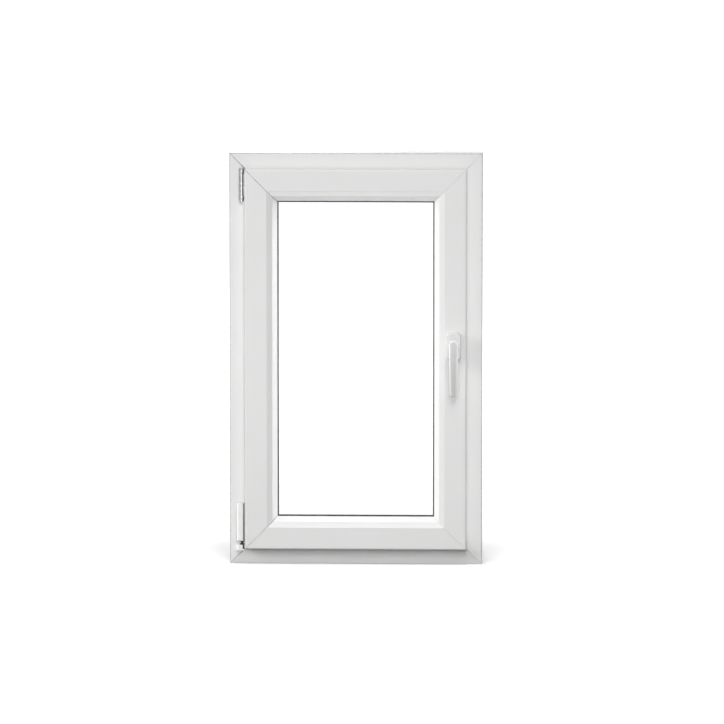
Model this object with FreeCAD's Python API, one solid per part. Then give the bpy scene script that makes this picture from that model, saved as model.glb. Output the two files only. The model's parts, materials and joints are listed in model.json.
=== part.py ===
import FreeCAD, Part
import math
import os

# A tilt and turn window in white extruded plastic: a fixed frame, one glazed sash that closes against it from
# the room, a lever handle on the right stile and the hinges on the left. Millimetres. The origin is the middle
# of the frame's bottom face, X runs to the right seen from the room, the room is on the -Y side and +Z is up.
# Sections are drawn with u, the distance inward from the window's outer edge, and y, the depth.

# Overall size of the frame
WIDTH = 600.0
HEIGHT = 980.0

# Extrusion walls and mitred corners, shared by frame and sash
WALL = 2.8
WEB = 1.5
EDGE_ROUND = 1.0
SEAM_WIDTH = 0.9
SEAM_DEPTH = 0.6

# Frame profile
FRAME_DEPTH = 70.0
FRAME_REBATE = 47.8
REBATE_FALL = 4.0
REBATE_ROUND = 2.0
UPSTAND_HEIGHT = 24.0
UPSTAND_THICKNESS = 20.0
UPSTAND_ROUND = 3.0
FRAME_ROOM_CELL = 10.0
FRAME_HEAD_CELL = 9.0
WALL_GROOVE_WIDTH = 8.0
WALL_GROOVE_DEPTH = 3.0
WALL_GROOVE_INSET = 12.0

# Weather seals between frame and sash
SEAL_GAP = 3.5
SEAL_GROOVE_WIDTH = 3.0
SEAL_GROOVE_DEPTH = 5.0
SEAL_FOOT_CLEARANCE = 0.1
SEAL_BULB = 6.0
SEAL_BULB_ROUND = 1.4
FRAME_SEAL_INSET = 5.0
SASH_SEAL_INSET = 6.5

# Sash profile
SASH_OVERLAP = 11.0
OVERLAP_THICKNESS = 20.0
OVERLAP_ROUND = 4.0
SASH_FLAT = 53.0
HARDWARE_GAP = 12.0
HARDWARE_MOUTH = 12.0
HARDWARE_GROOVE = 16.0
HARDWARE_DEPTH = 11.0
HARDWARE_LIP = 3.0
HARDWARE_AXIS = 13.0
LEG_THICKNESS = 15.0
LEG_HEIGHT = 23.0
LEG_FALL = 3.0
LEG_ROUND = 2.0
OUTER_CELL = 11.0

# Glazing bead
BEAD_SETBACK = 1.0
BEAD_FACET = 12.0
BEAD_FACET_FALL = 5.0
BEAD_FACET_ROUND = 6.0
BEAD_HEIGHT = 23.8
BEAD_NOSE = 1.5
BEAD_WALL = 1.8
CLIP_WIDTH = 3.2
CLIP_DEPTH = 4.5
CLIP_INSET = 6.5
CLIP_CLEARANCE = 0.1

# Sealed glass unit and its two gaskets
PANE = 4.0
CAVITY = 16.0
EDGE_CLEARANCE = 5.0
SPACER_HEIGHT = 7.0
SPACER_INSET = 6.0
GLAZING_GASKET = 3.0
INNER_GASKET_LIP = 3.2
OUTER_GASKET_LIP = 1.5
GASKET_DEPTH = 14.0
GASKET_ROUND = 1.0

# Handle
HANDLE_INSET = 30.0
HANDLE_HEIGHT = 524.0
ROSETTE_WIDTH = 34.0
ROSETTE_LENGTH = 68.0
ROSETTE_THICKNESS = 11.0
ROSETTE_ROUND = 12.0
ROSETTE_EDGE = 3.0
NECK_DIAMETER = 16.0
NECK_FIT = 0.05
NECK_END_GAP = 1.0
FLARE_DIAMETER = 19.0
FLARE_LENGTH = 10.0
HEAD_WIDTH = 22.0
HEAD_RISE = 18.5
HEAD_FRONT = 58.0
HEAD_TOP_ANGLE = 80.0
HEAD_STEPS = 3
GRIP_LENGTH = 114.0
GRIP_END_WIDTH = 17.0
GRIP_THICKNESS = 12.0
GRIP_ARCH = 19.0
GRIP_ARCH_POWER = 1.8
GRIP_FRONT_EDGE = 4.0
GRIP_BACK_EDGE = 2.5
GRIP_END_EDGE = 1.2
GRIP_STEPS = 6

# Hinges on the left
HINGE_OFFSET = 7.4
HINGE_STANDOFF = 9.5
PIN_DIAMETER = 6.0
PIN_FIT = 0.05
PIN_BUTTON = 1.2
PIN_BUTTON_WIDTH = 9.0
KNUCKLE_GAP = 0.4
LEAF_THICKNESS = 2.4
LEAF_WEB = 6.0
LEAF_MARGIN = 1.5
TOP_BARREL = 11.4
TOP_HINGE_LENGTH = 76.0
TOP_LUG = 11.0
BOTTOM_LUG = 13.0
BRACKET_PLATE = 2.5
BOTTOM_BARREL = 9.0
PIVOT_BASE = 32.0
PIVOT_LENGTH = 14.0
PIVOT_SOCKET = 10.0
PIVOT_REVEAL = 10.0
COLLAR_DIAMETER = 10.0
COLLAR_THICKNESS = 2.0
COVER_LENGTH = 90.0
COVER_WIDTH = 14.8
COVER_GAP = 3.0
COVER_WALL = 1.2
COVER_ROUND = 5.0
COVER_EDGE = 0.8
COVER_CLEARANCE = 0.3

# Drain slots in the sill's outside face, and the hoods over them
DRAIN_WIDTH = 28.0
DRAIN_HEIGHT = 5.0
DRAIN_LEVEL = 14.0
DRAIN_SPACING = 340.0
CAP_WIDTH = 42.0
CAP_HEIGHT = 14.0
CAP_DEPTH = 6.0
CAP_WALL = 1.5
CAP_ROUND = 3.0
CAP_MOUTH = 2.5

# Depths, from the room towards the outside
FRAME_ROOM = -FRAME_DEPTH / 2
FRAME_OUTSIDE = FRAME_DEPTH / 2
UPSTAND_FACE = FRAME_OUTSIDE - UPSTAND_THICKNESS
SASH_OUTSIDE = UPSTAND_FACE - SEAL_GAP
OVERLAP_BACK = FRAME_ROOM - SEAL_GAP
SASH_ROOM = OVERLAP_BACK - OVERLAP_THICKNESS
LEG_FACE = SASH_OUTSIDE - LEG_THICKNESS
OUTER_PANE_FRONT = LEG_FACE - GLAZING_GASKET - PANE
INNER_PANE_BACK = OUTER_PANE_FRONT - CAVITY
INNER_PANE_FRONT = INNER_PANE_BACK - PANE
BEAD_BACK = INNER_PANE_FRONT - GLAZING_GASKET
BEAD_FRONT = SASH_ROOM + BEAD_SETBACK
HARDWARE_CENTRE = OVERLAP_BACK + HARDWARE_AXIS
CLIP_CENTRE = BEAD_FRONT + CLIP_INSET

# Distances inward from the outer edge
REBATE_LOW = FRAME_REBATE - REBATE_FALL
UPSTAND_TOP = REBATE_LOW + UPSTAND_HEIGHT
SASH_EDGE = FRAME_REBATE - SASH_OVERLAP
SASH_BACK = FRAME_REBATE + HARDWARE_GAP
GLAZING_FLOOR = SASH_EDGE + SASH_FLAT
LEG_TOP = GLAZING_FLOOR + LEG_HEIGHT
BEAD_TOP = GLAZING_FLOOR + BEAD_HEIGHT
GLASS_EDGE = GLAZING_FLOOR + EDGE_CLEARANCE
SIGHT_LINE = BEAD_TOP + INNER_GASKET_LIP
FRAME_SEAL_CENTRE = UPSTAND_TOP - FRAME_SEAL_INSET
SASH_SEAL_CENTRE = SASH_EDGE + SASH_SEAL_INSET

# Lines that several pieces share
HANDLE_X = WIDTH / 2 - SASH_EDGE - HANDLE_INSET
HINGE_X = -WIDTH / 2 + SASH_EDGE - HINGE_OFFSET
HINGE_Y = FRAME_ROOM - HINGE_STANDOFF
SASH_EDGE_X = -WIDTH / 2 + SASH_EDGE
COVER_RIGHT = SASH_EDGE_X - LEAF_THICKNESS - COVER_GAP
PIVOT_RIGHT = SASH_EDGE_X - LEAF_THICKNESS - COVER_CLEARANCE
TOP_HINGE_END = HEIGHT - SASH_EDGE
TOP_HINGE_START = TOP_HINGE_END - TOP_HINGE_LENGTH
PIVOT_TOP = PIVOT_BASE + PIVOT_LENGTH
BAND_BASE = PIVOT_TOP + PIVOT_REVEAL
COVER_TOP = BAND_BASE + COVER_LENGTH
BAND_TOP = COVER_TOP - COVER_WALL - COVER_CLEARANCE
GRIP_BACK = HEAD_FRONT - GRIP_THICKNESS
HEAD_BACK = GRIP_BACK - FLARE_LENGTH
HEAD_CENTRE = HEAD_RISE - HEAD_WIDTH / 2

Vector = FreeCAD.Vector
UP = Vector(0, 0, 1)
ROOMWARD = Vector(0, -1, 0)


def box(x0, x1, y0, y1, z0, z1):
    return Part.makeBox(x1 - x0, y1 - y0, z1 - z0, Vector(x0, y0, z0))


def rod(diameter, z0, z1, x, y):
    return Part.makeCylinder(diameter / 2, z1 - z0, Vector(x, y, z0), UP)


def corner_edges(before, corner, after, radius):
    """The tangent points and the arc that round one corner."""
    towards_before = (before - corner).normalize()
    towards_after = (after - corner).normalize()
    half_angle = towards_before.getAngle(towards_after) / 2
    start = corner + towards_before * (radius / math.tan(half_angle))
    end = corner + towards_after * (radius / math.tan(half_angle))
    bisector = (towards_before + towards_after).normalize()
    middle = corner + bisector * (radius / math.sin(half_angle) - radius)
    return start, end, Part.Arc(start, middle, end).toShape()


def rounded_face(points, radii):
    """A flat face through the points, in order, with each corner rounded by its own radius."""
    ends = []
    arcs = []
    for i, corner in enumerate(points):
        if radii[i] > 0:
            start, end, arc = corner_edges(points[i - 1], corner, points[(i + 1) % len(points)], radii[i])
            ends.append((start, end))
            arcs.append(arc)
        else:
            ends.append((corner, corner))
            arcs.append(None)
    edges = []
    for i, arc in enumerate(arcs):
        if arc:
            edges.append(arc)
        following = ends[(i + 1) % len(points)][0]
        edges.append(Part.LineSegment(ends[i][1], following).toShape())
    return Part.Face(Part.Wire(edges))


def section(corners):
    """A profile section from (u, y, radius) corners, standing across the bar with u upwards."""
    points = [Vector(0, y, u) for u, y, radius in corners]
    return rounded_face(points, [radius for u, y, radius in corners])


def cell(u0, u1, y0, y1, radius=0.0):
    """A rectangular chamber or groove of a section."""
    return section([(u0, y0, radius), (u0, y1, radius), (u1, y1, radius), (u1, y0, radius)])


def cut_all(shape, tools):
    for tool in tools:
        shape = shape.cut(tool)
    return shape


def fuse_all(shapes):
    return shapes[0].multiFuse(shapes[1:]).removeSplitter()


def seam(length, face_y, inward):
    """One side of the shallow V along a welded mitre, at the start of a bar, cut into the face at face_y."""
    corner = Vector(-length / 2, face_y, 0)
    across = Vector(1, 0, -1).normalize() * SEAM_WIDTH
    deep = Vector(0, inward * SEAM_DEPTH, 0)
    triangle = Part.Face(Part.makePolygon([corner, corner + across, corner + deep, corner]))
    reach = min(WIDTH, HEIGHT) / 2
    return triangle.extrude(Vector(reach, 0, reach))


def mitred_bar(profile, length, seam_faces=()):
    """A profile cut to a bar whose ends are mitred at 45 degrees, lying along X with u upwards."""
    reach = min(WIDTH, HEIGHT) / 2
    box_y = profile.BoundBox
    wedge_points = [(-length / 2, 0), (length / 2, 0), (length / 2 - reach, reach), (-length / 2 + reach, reach)]
    corners = [Vector(x, box_y.YMin - WALL, z) for x, z in wedge_points]
    wedge = Part.Face(Part.makePolygon(corners + corners[:1])).extrude(Vector(0, box_y.YLength + 2 * WALL, 0))
    bar = profile.translated(Vector(-length / 2, 0, 0)).extrude(Vector(length, 0, 0)).common(wedge)
    for face_y, inward in seam_faces:
        groove = seam(length, face_y, inward)
        bar = bar.cut(groove).cut(groove.mirror(Vector(0, 0, 0), Vector(1, 0, 0)))
    return bar


def placed(bar, side):
    """A lying bar turned to its side of the window, with u pointing to the middle."""
    turn, spot = {
        "bottom": (0, Vector(0, 0, 0)),
        "right": (-90, Vector(WIDTH / 2, 0, HEIGHT / 2)),
        "left": (90, Vector(-WIDTH / 2, 0, HEIGHT / 2)),
        "top": (180, Vector(0, 0, HEIGHT)),
    }[side]
    turned = bar.copy()
    turned.rotate(Vector(0, 0, 0), Vector(0, 1, 0), turn)
    turned.translate(spot)
    return turned


def side_bar(profile, side, seam_faces=()):
    length = WIDTH if side in ("bottom", "top") else HEIGHT
    return placed(mitred_bar(profile, length, seam_faces), side)


def ring(profile):
    """A profile run round all four sides and joined at the mitres."""
    return fuse_all([side_bar(profile, side) for side in ("bottom", "right", "top", "left")])


def frame_profile():
    """The fixed frame: a chambered body, a falling rebate and the upstand that the sash shuts against."""
    body = section([
        (0, FRAME_ROOM, EDGE_ROUND),
        (0, FRAME_OUTSIDE, EDGE_ROUND),
        (UPSTAND_TOP, FRAME_OUTSIDE, UPSTAND_ROUND),
        (UPSTAND_TOP, UPSTAND_FACE, EDGE_ROUND),
        (REBATE_LOW, UPSTAND_FACE, REBATE_ROUND),
        (FRAME_REBATE, FRAME_ROOM, REBATE_ROUND),
    ])
    seal_half = SEAL_GROOVE_WIDTH / 2
    seal_groove = cell(FRAME_SEAL_CENTRE - seal_half, FRAME_SEAL_CENTRE + seal_half,
                       UPSTAND_FACE, UPSTAND_FACE + SEAL_GROOVE_DEPTH)
    wall_groove_room = FRAME_ROOM + WALL_GROOVE_INSET
    wall_groove_outside = FRAME_OUTSIDE - WALL_GROOVE_INSET
    wall_grooves = [
        cell(0, WALL_GROOVE_DEPTH, wall_groove_room, wall_groove_room + WALL_GROOVE_WIDTH),
        cell(0, WALL_GROOVE_DEPTH, wall_groove_outside - WALL_GROOVE_WIDTH, wall_groove_outside),
    ]
    return cut_all(body, [seal_groove] + wall_grooves + frame_chambers())


def frame_chambers():
    low = WALL_GROOVE_DEPTH + WALL
    high = REBATE_LOW - WALL
    room_start = FRAME_ROOM + WALL
    main_start = room_start + FRAME_ROOM_CELL + WEB
    outer_start = UPSTAND_FACE + SEAL_GROOVE_DEPTH + WALL
    head_start = high - FRAME_HEAD_CELL
    return [
        cell(low, high, room_start, room_start + FRAME_ROOM_CELL),
        cell(low, head_start - WEB, main_start, outer_start - WEB),
        cell(head_start, high, main_start, outer_start - WEB),
        cell(low, UPSTAND_TOP - WALL, outer_start, FRAME_OUTSIDE - WALL),
    ]


def sash_profile():
    """The sash: the overlap that shows in the room, the hardware groove, and the rebate that holds the glass."""
    body = section([
        (SASH_EDGE, SASH_ROOM, OVERLAP_ROUND),
        (SASH_EDGE, OVERLAP_BACK, EDGE_ROUND),
        (SASH_BACK, OVERLAP_BACK, REBATE_ROUND),
        (SASH_BACK, SASH_OUTSIDE, LEG_ROUND),
        (LEG_TOP - LEG_FALL, SASH_OUTSIDE, LEG_ROUND),
        (LEG_TOP, LEG_FACE, EDGE_ROUND),
        (GLAZING_FLOOR, LEG_FACE, EDGE_ROUND),
        (GLAZING_FLOOR, SASH_ROOM, EDGE_ROUND),
    ])
    seal_half = SEAL_GROOVE_WIDTH / 2
    clip_half = CLIP_WIDTH / 2
    grooves = [
        cell(SASH_SEAL_CENTRE - seal_half, SASH_SEAL_CENTRE + seal_half,
             OVERLAP_BACK - SEAL_GROOVE_DEPTH, OVERLAP_BACK),
        cell(GLAZING_FLOOR - CLIP_DEPTH, GLAZING_FLOOR, CLIP_CENTRE - clip_half, CLIP_CENTRE + clip_half),
        cell(SASH_BACK, SASH_BACK + HARDWARE_LIP,
             HARDWARE_CENTRE - HARDWARE_MOUTH / 2, HARDWARE_CENTRE + HARDWARE_MOUTH / 2),
        cell(SASH_BACK + HARDWARE_LIP, SASH_BACK + HARDWARE_DEPTH,
             HARDWARE_CENTRE - HARDWARE_GROOVE / 2, HARDWARE_CENTRE + HARDWARE_GROOVE / 2),
    ]
    return cut_all(body, grooves + sash_chambers())


def sash_chambers():
    top = GLAZING_FLOOR - WALL
    room_end = OVERLAP_BACK - SEAL_GROOVE_DEPTH - WALL
    groove_side = HARDWARE_CENTRE + HARDWARE_GROOVE / 2 + WALL
    outer_end = SASH_OUTSIDE - WALL
    outer_start = outer_end - OUTER_CELL
    return [
        cell(SASH_EDGE + WALL, GLAZING_FLOOR - CLIP_DEPTH - WALL, SASH_ROOM + WALL, room_end),
        cell(SASH_BACK + HARDWARE_DEPTH + WALL, top, room_end + WEB, groove_side - WEB),
        cell(SASH_BACK + WALL, top, groove_side, outer_start - WEB),
        cell(SASH_BACK + WALL, top, outer_start, outer_end),
        cell(GLAZING_FLOOR, LEG_TOP - LEG_FALL - WALL, LEG_FACE + WALL, outer_end),
    ]


def bead_profile():
    """The hollow bead that clips into the sash and presses the glass unit outwards."""
    facet_end = GLAZING_FLOOR + BEAD_FACET
    facet_depth = BEAD_FRONT + BEAD_FACET_FALL
    body = section([
        (GLAZING_FLOOR, BEAD_FRONT, 0),
        (GLAZING_FLOOR, BEAD_BACK, 0),
        (BEAD_TOP, BEAD_BACK, 0),
        (BEAD_TOP, BEAD_BACK - BEAD_NOSE, 0),
        (facet_end, facet_depth, BEAD_FACET_ROUND),
    ])
    hollow = body.makeOffset2D(-BEAD_WALL, 0, False, False, False)
    foot_half = CLIP_WIDTH / 2 - CLIP_CLEARANCE
    foot = cell(GLAZING_FLOOR - CLIP_DEPTH + CLIP_CLEARANCE, GLAZING_FLOOR,
                CLIP_CENTRE - foot_half, CLIP_CENTRE + foot_half)
    return body.cut(hollow).fuse(foot).removeSplitter().Faces[0]


def seal_profile(groove_centre, seat, groove_side):
    """A weather seal: a foot pushed into its groove and a soft bulb that fills the gap to the other profile."""
    bulb_end = seat - groove_side * SEAL_GAP
    bulb = cell(groove_centre - SEAL_BULB / 2, groove_centre + SEAL_BULB / 2,
                min(seat, bulb_end), max(seat, bulb_end), SEAL_BULB_ROUND)
    foot_half = SEAL_GROOVE_WIDTH / 2 - SEAL_FOOT_CLEARANCE
    inside = seat - groove_side * SEAL_BULB_ROUND
    foot_end = seat + groove_side * (SEAL_GROOVE_DEPTH - SEAL_FOOT_CLEARANCE)
    foot = cell(groove_centre - foot_half, groove_centre + foot_half, min(inside, foot_end), max(inside, foot_end))
    return bulb.fuse(foot).removeSplitter().Faces[0]


def glazing_gasket_profile(tip, front):
    return section([
        (tip - GASKET_DEPTH, front, 0),
        (tip - GASKET_DEPTH, front + GLAZING_GASKET, 0),
        (tip, front + GLAZING_GASKET, GASKET_ROUND),
        (tip, front, GASKET_ROUND),
    ])


def pane(front):
    half_width = WIDTH / 2 - GLASS_EDGE
    return box(-half_width, half_width, front, front + PANE, GLASS_EDGE, HEIGHT - GLASS_EDGE)


def spacer_profile():
    start = GLASS_EDGE + SPACER_INSET
    return cell(start, start + SPACER_HEIGHT, INNER_PANE_BACK, OUTER_PANE_FRONT)


def drain_middle(side):
    return side * DRAIN_SPACING / 2


def sill_with_drains(sill):
    """The drain slots go through the outside wall of the sill into its outer chamber."""
    for side in (-1, 1):
        middle = drain_middle(side)
        slot = box(middle - DRAIN_WIDTH / 2, middle + DRAIN_WIDTH / 2, FRAME_OUTSIDE - 2 * WALL,
                   FRAME_OUTSIDE + WALL, DRAIN_LEVEL, DRAIN_LEVEL + DRAIN_HEIGHT)
        sill = sill.cut(slot)
    return sill


def drain_cap(side):
    """A small hood with rounded front edges, open below so that the water runs out."""
    middle = drain_middle(side)
    base = DRAIN_LEVEL + DRAIN_HEIGHT / 2 - CAP_HEIGHT / 2
    hood = box(middle - CAP_WIDTH / 2, middle + CAP_WIDTH / 2, FRAME_OUTSIDE, FRAME_OUTSIDE + CAP_DEPTH,
               base, base + CAP_HEIGHT)
    front = FRAME_OUTSIDE + CAP_DEPTH
    hood = hood.makeFillet(CAP_ROUND, [e for e in hood.Edges if e.BoundBox.YMin > front - EDGE_ROUND])
    hollow = box(middle - CAP_WIDTH / 2 + CAP_WALL, middle + CAP_WIDTH / 2 - CAP_WALL, FRAME_OUTSIDE,
                 front - CAP_WALL, base + CAP_WALL, base + CAP_HEIGHT - CAP_WALL)
    mouth = box(middle - CAP_WIDTH / 2 + CAP_ROUND, middle + CAP_WIDTH / 2 - CAP_ROUND, FRAME_OUTSIDE,
                FRAME_OUTSIDE + CAP_MOUTH, base - CAP_WALL, base + 2 * CAP_WALL)
    return hood.cut(hollow).cut(mouth)


def rosette_outline(inset, out):
    """The rosette's rounded oblong, drawn in by an inset, at a distance out from the sash."""
    half_width = ROSETTE_WIDTH / 2 - inset
    half_length = ROSETTE_LENGTH / 2 - inset
    corners = [(-half_width, -half_length), (half_width, -half_length),
               (half_width, half_length), (-half_width, half_length)]
    points = [Vector(HANDLE_X + x, SASH_ROOM - out, HANDLE_HEIGHT + z) for x, z in corners]
    return rounded_face(points, [ROSETTE_ROUND - inset] * 4).OuterWire


def handle_rosette():
    """The plate behind the lever, with a front edge eased in two steps and a bore for the neck."""
    eased = ROSETTE_EDGE * (1 - math.sqrt(0.5))
    plate = Part.makeLoft([
        rosette_outline(0, 0),
        rosette_outline(0, ROSETTE_THICKNESS - ROSETTE_EDGE),
        rosette_outline(eased, ROSETTE_THICKNESS - eased),
        rosette_outline(ROSETTE_EDGE, ROSETTE_THICKNESS),
    ], True, True)
    bore = Part.makeCylinder(NECK_DIAMETER / 2 + NECK_FIT, ROSETTE_THICKNESS,
                             Vector(HANDLE_X, SASH_ROOM, HANDLE_HEIGHT), ROOMWARD)
    return plate.cut(bore)


def lever_section(rise, half, front, back):
    """A level section of the lever: half its width, and how far its front and back stand out from the sash."""
    corners = [(-half, front), (half, front), (half, back), (-half, back)]
    points = [Vector(HANDLE_X + x, SASH_ROOM - out, HANDLE_HEIGHT + rise) for x, out in corners]
    front_edge = min(GRIP_FRONT_EDGE, half / 2)
    back_edge = min(GRIP_BACK_EDGE, half / 2)
    return rounded_face(points, [front_edge, front_edge, back_edge, back_edge]).OuterWire


def head_sections():
    """Sections down the round top of the lever, which also draws in from front and back."""
    radius = HEAD_WIDTH / 2
    for step in range(HEAD_STEPS):
        angle = math.radians(HEAD_TOP_ANGLE * (1 - step / HEAD_STEPS))
        draw_in = 1 - math.cos(angle)
        yield lever_section(HEAD_CENTRE + radius * math.sin(angle), radius * math.cos(angle),
                            HEAD_FRONT - GRIP_FRONT_EDGE * draw_in, GRIP_BACK + GRIP_BACK_EDGE * draw_in)


def grip_sections():
    """Sections down the grip, which narrows and arches back, and the smaller section that softens its end."""
    for step in range(GRIP_STEPS + 1):
        share = step / GRIP_STEPS
        half = (HEAD_WIDTH + (GRIP_END_WIDTH - HEAD_WIDTH) * share) / 2
        arch = GRIP_ARCH * share ** GRIP_ARCH_POWER
        rise = HEAD_CENTRE - (HEAD_CENTRE + GRIP_LENGTH - GRIP_END_EDGE) * share
        yield lever_section(rise, half, HEAD_FRONT - arch, GRIP_BACK - arch)
    yield lever_section(-GRIP_LENGTH, half - GRIP_END_EDGE, HEAD_FRONT - arch - GRIP_END_EDGE,
                        GRIP_BACK - arch + GRIP_END_EDGE)


def handle_lever():
    """The lever: a lofted head and grip on a round neck that flares into it and turns in the rosette."""
    lever = Part.makeLoft([*head_sections(), *grip_sections()], True, True)
    neck = Part.makeCylinder(NECK_DIAMETER / 2, HEAD_BACK - NECK_END_GAP,
                             Vector(HANDLE_X, SASH_ROOM - NECK_END_GAP, HANDLE_HEIGHT), ROOMWARD)
    flare = Part.makeCone(NECK_DIAMETER / 2, FLARE_DIAMETER / 2, GRIP_BACK + GRIP_BACK_EDGE - HEAD_BACK,
                          Vector(HANDLE_X, SASH_ROOM - HEAD_BACK, HANDLE_HEIGHT), ROOMWARD)
    return fuse_all([lever, flare, neck])


def bore(diameter, z0, z1):
    return rod(diameter + 2 * PIN_FIT, z0, z1, HINGE_X, HINGE_Y)


def lug(diameter, z0, z1):
    """A hinge eye that stands on the frame's face: a round barrel on a web of its own width."""
    web = box(HINGE_X - diameter / 2, HINGE_X + diameter / 2, HINGE_Y, FRAME_ROOM, z0, z1)
    return rod(diameter, z0, z1, HINGE_X, HINGE_Y).fuse(web)


def top_hinge_bracket():
    """The frame half of the top hinge: a plate on the frame's face with an eye at each end."""
    plate = box(HINGE_X - TOP_BARREL / 2, HINGE_X + TOP_BARREL / 2, FRAME_ROOM - BRACKET_PLATE, FRAME_ROOM,
                TOP_HINGE_START, TOP_HINGE_END)
    lower = lug(TOP_BARREL, TOP_HINGE_START, TOP_HINGE_START + BOTTOM_LUG)
    upper = lug(TOP_BARREL, TOP_HINGE_END - TOP_LUG, TOP_HINGE_END)
    return fuse_all([plate, lower, upper]).cut(bore(PIN_DIAMETER, TOP_HINGE_START, TOP_HINGE_END))


def sash_band(diameter, z0, z1):
    """The sash half of a hinge: a barrel, a short web and a leaf fixed to the edge of the sash."""
    leaf_back = OVERLAP_BACK - LEAF_MARGIN
    leaf_front = SASH_ROOM + OVERLAP_ROUND + LEAF_MARGIN
    leaf = box(SASH_EDGE_X - LEAF_THICKNESS, SASH_EDGE_X, leaf_front, leaf_back, z0, z1)
    web = box(HINGE_X, SASH_EDGE_X, HINGE_Y - LEAF_WEB / 2, HINGE_Y + LEAF_WEB / 2, z0, z1)
    barrel = rod(diameter, z0, z1, HINGE_X, HINGE_Y)
    return fuse_all([leaf, web, barrel]).cut(bore(PIN_DIAMETER, z0, z1))


def top_hinge_knuckle():
    return sash_band(TOP_BARREL, TOP_HINGE_START + BOTTOM_LUG + KNUCKLE_GAP, TOP_HINGE_END - TOP_LUG - KNUCKLE_GAP)


def pin_button(z0, z1):
    return rod(PIN_BUTTON_WIDTH, z0, z1, HINGE_X, HINGE_Y)


def top_hinge_pin():
    """A pin with a flat button on each end."""
    shank = rod(PIN_DIAMETER, TOP_HINGE_START, TOP_HINGE_END, HINGE_X, HINGE_Y)
    lower = pin_button(TOP_HINGE_START - PIN_BUTTON, TOP_HINGE_START)
    upper = pin_button(TOP_HINGE_END, TOP_HINGE_END + PIN_BUTTON)
    return fuse_all([shank, lower, upper])


def hinge_oblong(inset, right, z0, z1, back):
    """The rounded plan form that the pivot block and the cover share, drawn in from its left and front sides."""
    left = COVER_RIGHT - COVER_WIDTH + inset
    front = HINGE_Y - BOTTOM_BARREL / 2 - COVER_CLEARANCE - COVER_WALL + inset
    points = [Vector(left, back, z0), Vector(left, front, z0), Vector(right, front, z0), Vector(right, back, z0)]
    return rounded_face(points, [0, COVER_ROUND - inset, 0, 0]).extrude(UP * (z1 - z0))


def level_edges(block, z):
    """The edges round a block's flat end at height z, but for the one along its back."""
    back = block.BoundBox.YMax
    level = [e for e in block.Edges if e.BoundBox.ZLength < EDGE_ROUND and abs(e.CenterOfMass.z - z) < EDGE_ROUND]
    return [e for e in level if e.BoundBox.YMin < back - EDGE_ROUND]


def bottom_hinge_pivot():
    """The block on the frame that carries the sash: it stands on the frame's face and has a socket for the pin."""
    block = hinge_oblong(0, PIVOT_RIGHT, PIVOT_BASE, PIVOT_TOP, FRAME_ROOM)
    block = block.makeChamfer(COVER_EDGE, level_edges(block, PIVOT_BASE) + level_edges(block, PIVOT_TOP))
    return block.cut(bore(PIN_DIAMETER, PIVOT_TOP - PIVOT_SOCKET, PIVOT_TOP))


def bottom_hinge_band():
    return sash_band(BOTTOM_BARREL, BAND_BASE, BAND_TOP)


def bottom_hinge_cover():
    """A thin moulded cover over the band, open below, behind and towards the sash."""
    back = HINGE_Y + BOTTOM_BARREL / 2 + COVER_CLEARANCE
    shell = hinge_oblong(0, COVER_RIGHT, BAND_BASE, COVER_TOP, back)
    shell = shell.makeChamfer(COVER_EDGE, level_edges(shell, COVER_TOP))
    hollow = hinge_oblong(COVER_WALL, SASH_EDGE_X, BAND_BASE, COVER_TOP - COVER_WALL, back)
    return shell.cut(hollow)


def bottom_hinge_pin():
    """The pin that the sash turns on, with a collar that keeps the band off the pivot block."""
    shank = rod(PIN_DIAMETER, PIVOT_TOP - PIVOT_SOCKET, BAND_TOP, HINGE_X, HINGE_Y)
    collar = rod(COLLAR_DIAMETER, BAND_BASE - COLLAR_THICKNESS, BAND_BASE, HINGE_X, HINGE_Y)
    return fuse_all([shank, collar])


def frame_nodes():
    profile = frame_profile()
    faces = [(FRAME_ROOM, 1), (FRAME_OUTSIDE, -1)]
    nodes = {
        "frame_head": side_bar(profile, "top", faces),
        "frame_sill": sill_with_drains(side_bar(profile, "bottom", faces)),
        "frame_hinge_jamb": side_bar(profile, "left", faces),
        "frame_lock_jamb": side_bar(profile, "right", faces),
        "frame_gasket": ring(seal_profile(FRAME_SEAL_CENTRE, UPSTAND_FACE, 1)),
    }
    return nodes


def sash_nodes():
    profile = sash_profile()
    faces = [(SASH_ROOM, 1), (SASH_OUTSIDE, -1)]
    nodes = {
        "sash_top_rail": side_bar(profile, "top", faces),
        "sash_bottom_rail": side_bar(profile, "bottom", faces),
        "sash_hinge_stile": side_bar(profile, "left", faces),
        "sash_lock_stile": side_bar(profile, "right", faces),
        "sash_gasket": ring(seal_profile(SASH_SEAL_CENTRE, OVERLAP_BACK, -1)),
    }
    return nodes


def glazing_nodes():
    bead = bead_profile()
    inner_tip = SIGHT_LINE
    outer_tip = LEG_TOP + OUTER_GASKET_LIP
    return {
        "bead_top": side_bar(bead, "top"),
        "bead_bottom": side_bar(bead, "bottom"),
        "bead_hinge_side": side_bar(bead, "left"),
        "bead_lock_side": side_bar(bead, "right"),
        "glass_inner_pane": pane(INNER_PANE_FRONT),
        "glass_outer_pane": pane(OUTER_PANE_FRONT),
        "spacer_bar": ring(spacer_profile()),
        "glazing_gasket_inner": ring(glazing_gasket_profile(inner_tip, BEAD_BACK)),
        "glazing_gasket_outer": ring(glazing_gasket_profile(outer_tip, LEG_FACE - GLAZING_GASKET)),
    }


def hardware_nodes():
    return {
        "handle_rosette": handle_rosette(),
        "handle_lever": handle_lever(),
        "top_hinge_bracket": top_hinge_bracket(),
        "top_hinge_knuckle": top_hinge_knuckle(),
        "top_hinge_pin": top_hinge_pin(),
        "bottom_hinge_pivot": bottom_hinge_pivot(),
        "bottom_hinge_band": bottom_hinge_band(),
        "bottom_hinge_cover": bottom_hinge_cover(),
        "bottom_hinge_pin": bottom_hinge_pin(),
        "drain_cap_left": drain_cap(-1),
        "drain_cap_right": drain_cap(1),
    }


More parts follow.
